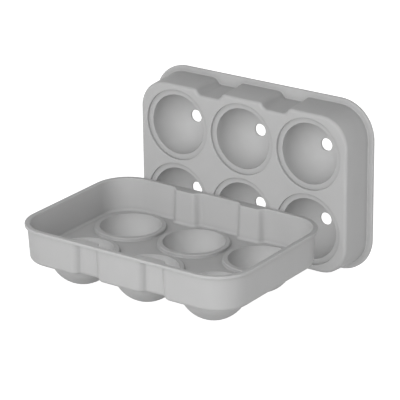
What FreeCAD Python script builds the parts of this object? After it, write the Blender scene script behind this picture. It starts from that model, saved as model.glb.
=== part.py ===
# Two-part silicone mould for six ice balls: a deep tray that stands on its cups,
# and the lid that closes it, taken off and stood on its long edge behind the tray.
# Millimetres, +Z up. The origin is under the middle of the pair, on the table.

import FreeCAD, Part
import math
import os
from FreeCAD import Vector

# Driving dimensions: the balls and their grid
BALL_DIAMETER = 45.0
COLUMNS = 3
ROWS = 2
WALL = 2.0

# Raised ring round each cup of the tray, and the lid's recess that takes it
RING_WIDTH = 3.5
RING_HEIGHT = 2.6
RING_EDGE_RADIUS = 0.7
RING_CLEARANCE = 0.3
WEB_BETWEEN_RECESSES = 3.4

# Floor of the tray, from the rings out to the side walls
END_MARGIN = 6.0
SIDE_MARGIN = 5.0
FLOOR_CORNER_RADIUS = 22.0
DRAFT_ANGLE = 3.0
BOTTOM_FILLET = 3.0
INNER_FILLET = 2.0

# Flat rim round the top of the tray, and the like flange of the lid
RIM_OVERHANG = 1.7
RIM_THICKNESS = 2.4
RIM_EDGE_RADIUS = 0.8

# Notches in the long sides, one between each two columns of cups
NOTCH_FLOOR_WIDTH = 16.5
NOTCH_FLANK_RUN = 3.5
NOTCH_DEPTH = 4.5
NOTCH_TIGHTEST_RADIUS = 1.3

# Feet of the tray: how deep the small flat cuts into the pole of each cup
FOOT_FLAT_DEPTH = 0.5

# Lid: how it fits the tray when the mould is closed
LID_CLEARANCE = 0.5
FACE_GAP = 0.3
FINGER_GAP = 1.5
DOME_TO_FLANGE_TOP = 1.8
FACE_FILLET = 2.5
FILL_HOLE_DIAMETER = 9.2
HOLE_EDGE_RADIUS = 0.5

# Soft blend where a cup or a dome leaves the flat it stands on
CUP_BLEND_RADIUS = 1.5

# Layout: the lid stands behind the tray and a little to the right
LID_SHIFT = 15.0
LID_DISTANCE = 1.5

# Balls, rings and recesses
BALL_RADIUS = BALL_DIAMETER / 2
RING_RADIUS = BALL_RADIUS + RING_WIDTH
RECESS_RADIUS = RING_RADIUS + RING_CLEARANCE
RECESS_DEPTH = RING_HEIGHT - FACE_GAP
PITCH = 2 * RECESS_RADIUS + WEB_BETWEEN_RECESSES
INSERT_RADIUS = RECESS_RADIUS + 0.4 * WEB_BETWEEN_RECESSES
CUP_RADIUS = BALL_RADIUS + WALL
LID_PLATE = RECESS_DEPTH + WALL

# Heights: the lid is just deep enough to hide its domes, and the tray takes the lid
LID_HEIGHT = RECESS_DEPTH + CUP_RADIUS + DOME_TO_FLANGE_TOP
LID_WALL_HEIGHT = LID_HEIGHT - RIM_THICKNESS
TRAY_DEPTH = LID_WALL_HEIGHT + FACE_GAP - FINGER_GAP
CUP_CENTRE_Z = CUP_RADIUS - FOOT_FLAT_DEPTH
FOOT_RADIUS = math.sqrt(CUP_RADIUS ** 2 - CUP_CENTRE_Z ** 2)
FLOOR_Z = CUP_CENTRE_Z - RING_HEIGHT
UNDERSIDE_Z = FLOOR_Z - WALL
RIM_Z = FLOOR_Z + TRAY_DEPTH

# Outlines
DRAFT = math.tan(math.radians(DRAFT_ANGLE))
FLOOR_LENGTH = (COLUMNS - 1) * PITCH + 2 * (RING_RADIUS + END_MARGIN)
FLOOR_WIDTH = (ROWS - 1) * PITCH + 2 * (RING_RADIUS + SIDE_MARGIN)
WALL_TOP_OFFSET = TRAY_DEPTH * DRAFT + WALL
RIM_OFFSET = WALL_TOP_OFFSET + RIM_OVERHANG
RIM_LENGTH = FLOOR_LENGTH + 2 * RIM_OFFSET
RIM_WIDTH = FLOOR_WIDTH + 2 * RIM_OFFSET
RIM_CORNER_RADIUS = FLOOR_CORNER_RADIUS + RIM_OFFSET
NOTCH_MOUTH_RADIUS = NOTCH_TIGHTEST_RADIUS + WALL + LID_CLEARANCE
NOTCH_FLOOR_RADIUS = NOTCH_TIGHTEST_RADIUS + WALL_TOP_OFFSET

# Edge radii, limited by the walls they are on
RIM_EDGE = min(RIM_EDGE_RADIUS, 0.45 * RIM_OVERHANG, 0.45 * RIM_THICKNESS)
RING_EDGE = min(RING_EDGE_RADIUS, 0.3 * RING_HEIGHT, 0.3 * WEB_BETWEEN_RECESSES)
HOLE_EDGE = min(HOLE_EDGE_RADIUS, 0.4 * WALL)
FACE_EDGE = min(FACE_FILLET, 0.9 * (NOTCH_MOUTH_RADIUS - LID_CLEARANCE))
BOTTOM_EDGE = min(BOTTOM_FILLET, 0.9 * (NOTCH_MOUTH_RADIUS + WALL))
INNER_EDGE = min(INNER_FILLET, 0.9 * NOTCH_MOUTH_RADIUS)

# Places of the two parts, on each side of the origin
PAIR_DEPTH = RIM_WIDTH + LID_DISTANCE + LID_HEIGHT
TRAY_X = -LID_SHIFT / 2
TRAY_Y = (RIM_WIDTH - PAIR_DEPTH) / 2
LID_X = LID_SHIFT / 2
LID_Y = PAIR_DEPTH / 2 - LID_HEIGHT


class Corner:
    """Arc that rounds one corner of an outline, and of every outline parallel to it."""

    def __init__(self, before, corner, after, radius):
        leg_in = (before - corner).normalize()
        leg_out = (after - corner).normalize()
        half_angle = leg_in.getAngle(leg_out) / 2
        inward = (leg_in + leg_out).normalize()
        setback = radius / math.tan(half_angle)
        self.radius = radius
        self.centre = corner + inward * (radius / math.sin(half_angle))
        self.start_normal = (corner + leg_in * setback - self.centre).normalize()
        self.end_normal = (corner + leg_out * setback - self.centre).normalize()
        turn = leg_in.cross(leg_out).z
        self.side = math.copysign(1, turn)
        self.turn_angle = math.degrees(math.pi - 2 * half_angle) * -self.side

    def point(self, normal, offset, z):
        reach = self.radius + self.side * offset
        return self.centre + normal * reach + Vector(0, 0, z)

    def start(self, offset, z):
        return self.point(self.start_normal, offset, z)

    def end(self, offset, z):
        return self.point(self.end_normal, offset, z)

    def arc(self, offset, z):
        middle_normal = (self.start_normal + self.end_normal).normalize()
        middle = self.point(middle_normal, offset, z)
        return Part.Arc(self.start(offset, z), middle, self.end(offset, z)).toShape()


def rounded_outline(points):
    """Corners of a closed outline through clockwise points given as (x, y, radius)."""
    places = [Vector(x, y, 0) for x, y, radius in points]
    count = len(points)
    return [
        Corner(places[i - 1], places[i], places[(i + 1) % count], points[i][2])
        for i in range(count)
    ]


def outline_face(corners, offset, z):
    edges = []
    for corner, following in zip(corners, corners[1:] + corners[:1]):
        edges.append(corner.arc(offset, z))
        edges.append(Part.LineSegment(corner.end(offset, z), following.start(offset, z)).toShape())
    return Part.Face(Part.Wire(edges))


def notched_side(half_length, half_width, sign):
    """Corners of one long side, with a notch between each two columns of cups."""
    half_floor = NOTCH_FLOOR_WIDTH / 2
    half_mouth = half_floor + NOTCH_FLANK_RUN
    corners = [(-half_length * sign, half_width * sign, FLOOR_CORNER_RADIUS)]
    for i in range(COLUMNS - 1):
        centre = (i - (COLUMNS - 2) / 2) * PITCH
        for offset, depth, radius in (
            (-half_mouth, 0, NOTCH_MOUTH_RADIUS),
            (-half_floor, NOTCH_DEPTH, NOTCH_FLOOR_RADIUS),
            (half_floor, NOTCH_DEPTH, NOTCH_FLOOR_RADIUS),
            (half_mouth, 0, NOTCH_MOUTH_RADIUS),
        ):
            corners.append(((centre + offset) * sign, (half_width - depth) * sign, radius))
    corners.append((half_length * sign, half_width * sign, FLOOR_CORNER_RADIUS))
    return corners


def floor_outline():
    """Outline of the tray's floor inside its walls; every wall is parallel to it."""
    half_length = FLOOR_LENGTH / 2
    half_width = FLOOR_WIDTH / 2
    return rounded_outline(
        notched_side(half_length, half_width, 1) + notched_side(half_length, half_width, -1)
    )


def tapered_block(offset, base_z, top_z):
    """Block with drafted sides, whose outline is `offset` outside the floor's at base_z."""
    corners = floor_outline()
    base = (offset, base_z)
    top = (offset + (top_z - base_z) * DRAFT, top_z)
    faces = [outline_face(corners, *base), outline_face(corners, *top)]
    for corner, following in zip(corners, corners[1:] + corners[:1]):
        slant = Part.LineSegment(corner.start(*base), corner.start(*top)).toShape()
        faces.append(slant.revolve(corner.centre, Vector(0, 0, 1), corner.turn_angle))
        faces.append(Part.Face(Part.makePolygon([
            corner.end(*base), following.start(*base), following.start(*top), corner.end(*top),
            corner.end(*base),
        ])))
    shell = Part.Shell(faces)
    shell.sewShape()
    return Part.Solid(shell)


def rim_plate(base_z):
    """Plain rounded rectangle of the rim and the flange."""
    corners = rounded_outline([
        (x * RIM_LENGTH / 2, y * RIM_WIDTH / 2, RIM_CORNER_RADIUS)
        for x, y in ((-1, 1), (1, 1), (1, -1), (-1, -1))
    ])
    return outline_face(corners, 0, base_z).extrude(Vector(0, 0, RIM_THICKNESS))


def flat_edges(shape, z):
    """Edges that lie in the plane at height z."""
    tolerance = 1e-4
    return [
        edge for edge in shape.Edges
        if abs(edge.BoundBox.ZMin - z) < tolerance and abs(edge.BoundBox.ZMax - z) < tolerance
    ]


def grid_centres():
    for column in range(COLUMNS):
        for row in range(ROWS):
            yield Vector((column - (COLUMNS - 1) / 2) * PITCH, (row - (ROWS - 1) / 2) * PITCH, 0)


def at_each_ball(shape):
    copies = []
    for centre in grid_centres():
        copy = shape.copy()
        copy.translate(centre)
        copies.append(copy)
    return copies


def at(radius, z):
    return Vector(radius, 0, z)


def revolved(start, steps):
    """Solid turned about Z. Each step is (point, centre): an arc about the centre, or a line."""
    edges = []
    for point, centre in steps:
        if centre is None:
            edges.append(Part.LineSegment(start, point).toShape())
        else:
            radius = start.distanceToPoint(centre)
            middle = centre + (start + point - centre * 2).normalize() * radius
            edges.append(Part.Arc(start, middle, point).toShape())
        start = point
    return Part.Face(Part.Wire(edges)).revolve(Vector(0, 0, 0), Vector(0, 0, 1), 360)


def on_ball(ball_centre, radius, towards):
    """Point of a ball's outline on the line from its centre through another point."""
    return ball_centre + (towards - ball_centre).normalize() * radius


def blend_centre(ball_centre, reach, z):
    """Centre of a blend's arc at height z, `reach` from the ball's centre."""
    return at(math.sqrt(reach ** 2 - (z - ball_centre.z) ** 2), z)


def edge_centre(ball_centre, reach, radius):
    """Centre of a hole edge's arc at a radius from the axis, `reach` from the ball's centre."""
    return at(radius, ball_centre.z + math.sqrt(reach ** 2 - radius ** 2))


def cup_insert():
    """One cup with its ring and the disc of floor round it."""
    centre = at(0, CUP_CENTRE_Z)
    blend = blend_centre(centre, CUP_RADIUS + CUP_BLEND_RADIUS, UNDERSIDE_Z - CUP_BLEND_RADIUS)
    ring_foot = at(RING_RADIUS + RING_EDGE, FLOOR_Z + RING_EDGE)
    ring_top = at(RING_RADIUS - RING_EDGE, CUP_CENTRE_Z - RING_EDGE)
    return revolved(at(0, 0), [
        (at(FOOT_RADIUS, 0), None),
        (on_ball(centre, CUP_RADIUS, blend), centre),
        (at(blend.x, UNDERSIDE_Z), blend),
        (at(INSERT_RADIUS, UNDERSIDE_Z), None),
        (at(INSERT_RADIUS, FLOOR_Z), None),
        (at(ring_foot.x, FLOOR_Z), None),
        (at(RING_RADIUS, ring_foot.z), ring_foot),
        (at(RING_RADIUS, ring_top.z), None),
        (at(ring_top.x, CUP_CENTRE_Z), ring_top),
        (at(BALL_RADIUS, CUP_CENTRE_Z), None),
        (at(0, CUP_CENTRE_Z - BALL_RADIUS), centre),
        (at(0, 0), None),
    ])


def dome_insert():
    """One dome with its fill hole, its recess and the disc of face plate round it."""
    centre = at(0, RECESS_DEPTH)
    blend = blend_centre(centre, CUP_RADIUS + CUP_BLEND_RADIUS, LID_PLATE + CUP_BLEND_RADIUS)
    mouth = at(RECESS_RADIUS + RING_EDGE, RING_EDGE)
    hole_radius = FILL_HOLE_DIAMETER / 2
    outer_edge = edge_centre(centre, CUP_RADIUS - HOLE_EDGE, hole_radius + HOLE_EDGE)
    inner_edge = edge_centre(centre, BALL_RADIUS + HOLE_EDGE, hole_radius + HOLE_EDGE)
    recess_corner = at(BALL_RADIUS, RECESS_DEPTH)
    return revolved(recess_corner, [
        (at(RECESS_RADIUS, RECESS_DEPTH), None),
        (at(RECESS_RADIUS, mouth.z), None),
        (at(mouth.x, 0), mouth),
        (at(INSERT_RADIUS, 0), None),
        (at(INSERT_RADIUS, LID_PLATE), None),
        (at(blend.x, LID_PLATE), None),
        (on_ball(centre, CUP_RADIUS, blend), blend),
        (on_ball(centre, CUP_RADIUS, outer_edge), centre),
        (at(hole_radius, outer_edge.z), outer_edge),
        (at(hole_radius, inner_edge.z), None),
        (on_ball(centre, BALL_RADIUS, inner_edge), inner_edge),
        (recess_corner, centre),
    ])


def with_inserts(shape, insert, base_z, height):
    """Replaces a disc of the shape's floor at each ball by the insert."""
    seat = Part.makeCylinder(INSERT_RADIUS, height, Vector(0, 0, base_z))
    return shape.cut(at_each_ball(seat)).fuse(at_each_ball(insert)).removeSplitter()


def bottom_tray():
    inner = tapered_block(0, FLOOR_Z, RIM_Z)
    inner = inner.makeFillet(INNER_EDGE, flat_edges(inner, FLOOR_Z))
    outer = tapered_block(WALL - WALL * DRAFT, UNDERSIDE_Z, RIM_Z)
    outer = outer.makeFillet(BOTTOM_EDGE, flat_edges(outer, UNDERSIDE_Z))
    tray = outer.fuse(rim_plate(RIM_Z - RIM_THICKNESS)).cut(inner).removeSplitter()
    rim_edges = flat_edges(tray, RIM_Z) + flat_edges(tray, RIM_Z - RIM_THICKNESS)
    tray = tray.makeFillet(RIM_EDGE, rim_edges)
    tray = with_inserts(tray, cup_insert(), UNDERSIDE_Z, WALL)
    tray.translate(Vector(TRAY_X, TRAY_Y, 0))
    return tray


def top_lid():
    """Built as it closes the tray, face down at z = 0, then stood up."""
    outer = tapered_block(-LID_CLEARANCE, 0, LID_HEIGHT)
    outer = outer.makeFillet(FACE_EDGE, flat_edges(outer, 0))
    basin = tapered_block(-LID_CLEARANCE - WALL + LID_PLATE * DRAFT, LID_PLATE, LID_HEIGHT)
    lid = outer.fuse(rim_plate(LID_WALL_HEIGHT)).cut(basin).removeSplitter()
    flange_edges = flat_edges(lid, LID_HEIGHT) + flat_edges(lid, LID_WALL_HEIGHT)
    lid = lid.makeFillet(RIM_EDGE, flange_edges)
    lid = with_inserts(lid, dome_insert(), 0, LID_PLATE)
    lid.rotate(Vector(0, 0, 0), Vector(1, 0, 0), -90)
    lid.translate(Vector(LID_X, LID_Y, RIM_WIDTH / 2))
    return lid


def main():
    os.makedirs("parts", exist_ok=True)
    for name, build in (("bottom_tray", bottom_tray), ("top_lid", top_lid)):
        shape = build()
        box = shape.BoundBox
        print(name, "solids", len(shape.Solids), "valid", shape.isValid(),
              "volume", round(shape.Volume), "faces", len(shape.Faces))
        print("  box", [round(v, 2) for v in (box.XMin, box.YMin, box.ZMin)],
              [round(v, 2) for v in (box.XMax, box.YMax, box.ZMax)])
        shape.exportStep(f"parts/{name}.step")


main()
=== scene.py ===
# Looks of the ice ball mould: matte grey silicone for the tray and its lid,
# in a plain white studio, seen at the photograph's angle.
import math

import bpy
from mathutils import Matrix, Vector


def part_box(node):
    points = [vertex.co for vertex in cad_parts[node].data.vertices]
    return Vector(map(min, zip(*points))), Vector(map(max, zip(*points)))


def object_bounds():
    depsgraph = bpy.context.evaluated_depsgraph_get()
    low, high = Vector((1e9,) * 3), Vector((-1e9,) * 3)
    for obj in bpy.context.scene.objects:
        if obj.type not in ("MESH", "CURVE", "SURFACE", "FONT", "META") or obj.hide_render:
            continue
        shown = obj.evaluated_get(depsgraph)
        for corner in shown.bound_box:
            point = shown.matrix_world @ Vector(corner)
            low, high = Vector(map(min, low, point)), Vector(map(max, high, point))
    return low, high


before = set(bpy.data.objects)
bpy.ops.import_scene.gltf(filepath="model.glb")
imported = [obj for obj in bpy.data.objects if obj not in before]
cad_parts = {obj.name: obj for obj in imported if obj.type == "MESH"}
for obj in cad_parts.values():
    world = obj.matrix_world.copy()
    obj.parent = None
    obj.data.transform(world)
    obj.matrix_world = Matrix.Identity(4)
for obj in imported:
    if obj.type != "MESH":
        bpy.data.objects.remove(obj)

cad_low, cad_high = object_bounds()
tray_low, tray_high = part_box("bottom_tray")

# Camera, fitted to the photograph: it looks past the middle of the tray's rim
IMAGE_SIZE = 400
SENSOR_WIDTH = 36.0
VIEW_AZIMUTH = math.radians(35.4)
VIEW_ELEVATION = math.radians(21.17)
VIEW_ROLL = math.radians(0.68)
VIEW_DISTANCE = 1.623
PIXELS_PER_METRE = 1436
RIM_OFFSET_RIGHT = -0.0207
RIM_OFFSET_UP = -0.0164

# Silicone: an even grey with faint clouding and shade painted into its creases, and a
# very fine tooth from the mould
SILICONE_GREY = 0.45
CLOUDING = 0.03
CLOUD_SIZE = 0.035
CLOUD_DETAIL = 3
SILICONE_ROUGHNESS = 0.6
ROUGHNESS_SPREAD = 0.05
TOOTH_SIZE = 0.0008
TOOTH_DETAIL = 2
TOOTH_HEIGHT = 0.00003
# Painted shade: the crease constants darken the colour where the piece closes a surface in
CREASE_REACH = 0.005
CREASE_SHADE = 0.6
CREASE_RAYS = 8
SILICONE_IOR = 1.41

# Studio: the ambient light on the part, the white that the eye sees, and the floor
AMBIENT = 0.3
SEEN_WHITE = 1.0
FLOOR_GREY = 0.45
FLOOR_GLOW = 0.9
FLOOR_HALF_SIZE = 6.0
FLOOR_GAP = 0.0003

# Lamps: name, place, size, watts, and whether it casts shadows. Those without shadows
# stand for flat light from the front, which leaves no cast shadow on the lid
LAMPS = (
    ("front", (-0.15, -0.8, 0.18), 0.4, 1.75, False),
    ("front_right", (0.46, -0.66, 0.2), 0.4, 1.85, False),
    ("front_high", (0.0, -0.75, 0.3), 0.6, 1.35, True),
    ("high", (-0.1, -0.5, 0.75), 0.4, 1.25, False),
    ("right_low", (0.8, 0.0, 0.07), 0.1, 1.2, True),
    ("left_low", (-0.8, 0.1, 0.07), 0.1, 0.6, True),
    ("back", (0.1, 0.85, 0.15), 0.5, 4.6, True),
)


def nodes_of(material):
    material.use_nodes = True
    tree = material.node_tree
    tree.nodes.clear()
    return tree.nodes, tree.links


def noise(nodes, links, coordinates, size, detail):
    """Noise whose lumps are about `size` metres across."""
    texture = nodes.new("ShaderNodeTexNoise")
    texture.inputs["Scale"].default_value = 1 / size
    texture.inputs["Detail"].default_value = detail
    links.new(coordinates, texture.inputs["Vector"])
    return texture.outputs["Fac"]


def spread(nodes, links, factor, middle, width):
    """Turns a factor of 0 to 1 into a value about `middle`."""
    values = nodes.new("ShaderNodeMapRange")
    values.inputs["To Min"].default_value = middle - width
    values.inputs["To Max"].default_value = middle + width
    links.new(factor, values.inputs["Value"])
    return values.outputs["Result"]


def painted_crease_shade(nodes, links):
    """Painted shade: 1 on open surfaces, down to CREASE_SHADE where the same piece closes a
    surface in.
    """
    openness = nodes.new("ShaderNodeAmbientOcclusion")
    openness.inputs["Distance"].default_value = CREASE_REACH
    openness.samples = CREASE_RAYS
    openness.only_local = True
    middle, width = (1 + CREASE_SHADE) / 2, (1 - CREASE_SHADE) / 2
    return spread(nodes, links, openness.outputs["AO"], middle, width)


def silicone_material():
    material = bpy.data.materials.new("silicone")
    nodes, links = nodes_of(material)
    output = nodes.new("ShaderNodeOutputMaterial")
    shader = nodes.new("ShaderNodeBsdfPrincipled")
    shader.inputs["IOR"].default_value = SILICONE_IOR
    links.new(shader.outputs["BSDF"], output.inputs["Surface"])

    coordinates = nodes.new("ShaderNodeTexCoord").outputs["Object"]
    clouds = noise(nodes, links, coordinates, CLOUD_SIZE, CLOUD_DETAIL)
    grey = nodes.new("ShaderNodeCombineColor")
    value = nodes.new("ShaderNodeMath")
    value.operation = "MULTIPLY"
    links.new(spread(nodes, links, clouds, SILICONE_GREY, CLOUDING), value.inputs[0])
    # Painted shade: the crease darkening is multiplied into the base colour
    links.new(painted_crease_shade(nodes, links), value.inputs[1])
    for channel in ("Red", "Green", "Blue"):
        links.new(value.outputs["Value"], grey.inputs[channel])
    links.new(grey.outputs["Color"], shader.inputs["Base Color"])

    tooth = noise(nodes, links, coordinates, TOOTH_SIZE, TOOTH_DETAIL)
    roughness = spread(nodes, links, tooth, SILICONE_ROUGHNESS, ROUGHNESS_SPREAD)
    links.new(roughness, shader.inputs["Roughness"])
    bump = nodes.new("ShaderNodeBump")
    bump.inputs["Distance"].default_value = TOOTH_HEIGHT
    links.new(tooth, bump.inputs["Height"])
    links.new(bump.outputs["Normal"], shader.inputs["Normal"])
    return material


def seen_directly(nodes, links):
    """1 for rays from the camera and for reflections of the studio, otherwise 0."""
    path = nodes.new("ShaderNodeLightPath")
    seen = path.outputs["Is Camera Ray"]
    for ray in ("Is Glossy Ray", "Is Transmission Ray"):
        either = nodes.new("ShaderNodeMath")
        either.operation = "MAXIMUM"
        links.new(seen, either.inputs[0])
        links.new(path.outputs[ray], either.inputs[1])
        seen = either.outputs["Value"]
    return seen


def add_world():
    """Even light from all round, which shows as plain white."""
    world = bpy.data.worlds.new("studio")
    bpy.context.scene.world = world
    world.use_nodes = True
    nodes, links = world.node_tree.nodes, world.node_tree.links
    nodes.clear()
    output = nodes.new("ShaderNodeOutputWorld")
    mix = nodes.new("ShaderNodeMixShader")
    links.new(seen_directly(nodes, links), mix.inputs["Fac"])
    for socket, strength in ((1, AMBIENT), (2, SEEN_WHITE)):
        background = nodes.new("ShaderNodeBackground")
        background.inputs["Color"].default_value = (1, 1, 1, 1)
        background.inputs["Strength"].default_value = strength
        links.new(background.outputs["Background"], mix.inputs[socket])
    links.new(mix.outputs["Shader"], output.inputs["Surface"])


def add_floor():
    """White floor: a plain matte one that keeps the shadow, with its whiteness for the eye."""
    material = bpy.data.materials.new("floor_white")
    nodes, links = nodes_of(material)
    output = nodes.new("ShaderNodeOutputMaterial")
    matte = nodes.new("ShaderNodeBsdfDiffuse")
    matte.inputs["Color"].default_value = (FLOOR_GREY, FLOOR_GREY, FLOOR_GREY, 1)
    glow = nodes.new("ShaderNodeEmission")
    strength = nodes.new("ShaderNodeMath")
    strength.operation = "MULTIPLY"
    strength.inputs[1].default_value = FLOOR_GLOW
    links.new(seen_directly(nodes, links), strength.inputs[0])
    links.new(strength.outputs["Value"], glow.inputs["Strength"])
    both = nodes.new("ShaderNodeAddShader")
    links.new(matte.outputs["BSDF"], both.inputs[0])
    links.new(glow.outputs["Emission"], both.inputs[1])
    links.new(both.outputs["Shader"], output.inputs["Surface"])

    mesh = bpy.data.meshes.new("floor")
    half = FLOOR_HALF_SIZE
    corners = [(-half, -half, 0), (half, -half, 0), (half, half, 0), (-half, half, 0)]
    mesh.from_pydata(corners, [], [(0, 1, 2, 3)])
    mesh.materials.append(material)
    floor = bpy.data.objects.new("floor", mesh)
    floor.location.z = cad_low.z - FLOOR_GAP
    bpy.context.scene.collection.objects.link(floor)


def add_lamp(name, place, size, watts, shadow):
    """Square soft box that faces the middle of the part.

    With multiple importance sampling a lamp without shadows would lose light wherever
    the part hides it, so such a lamp goes without."""
    data = bpy.data.lights.new(name, "AREA")
    data.size = size
    data.energy = watts
    data.use_shadow = shadow
    data.cycles.use_multiple_importance_sampling = shadow
    lamp = bpy.data.objects.new(name, data)
    lamp.location = place
    lamp.rotation_mode = "QUATERNION"
    lamp.rotation_quaternion = (lamp.location - (cad_low + cad_high) / 2).to_track_quat("Z", "Y")
    lamp.visible_camera = False
    bpy.context.scene.collection.objects.link(lamp)


def add_camera():
    """Camera at the photograph's angle, with the tray's rim as its point of reference."""
    azimuth, elevation = VIEW_AZIMUTH, VIEW_ELEVATION
    right = Vector((math.cos(azimuth), math.sin(azimuth), 0))
    back = Vector((
        math.sin(azimuth) * math.cos(elevation),
        -math.cos(azimuth) * math.cos(elevation),
        math.sin(elevation),
    ))
    up = back.cross(right)
    rim_centre = (tray_low + tray_high) / 2
    rim_centre.z = tray_high.z
    data = bpy.data.cameras.new("camera")
    data.sensor_width = SENSOR_WIDTH
    data.lens = PIXELS_PER_METRE * VIEW_DISTANCE / IMAGE_SIZE * SENSOR_WIDTH
    camera = bpy.data.objects.new("camera", data)
    place = rim_centre - right * RIM_OFFSET_RIGHT - up * RIM_OFFSET_UP + back * VIEW_DISTANCE
    turn = Matrix((right, up, back)).transposed() @ Matrix.Rotation(-VIEW_ROLL, 3, "Z")
    camera.matrix_world = Matrix.Translation(place) @ turn.to_4x4()
    bpy.context.scene.collection.objects.link(camera)
    bpy.context.scene.camera = camera


silicone = silicone_material()
for name in ("bottom_tray", "top_lid"):
    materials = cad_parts[name].data.materials
    materials.clear()
    materials.append(silicone)

add_world()
add_floor()
for lamp_values in LAMPS:
    add_lamp(*lamp_values)
add_camera()
bpy.context.scene.view_settings.view_transform = "Standard"
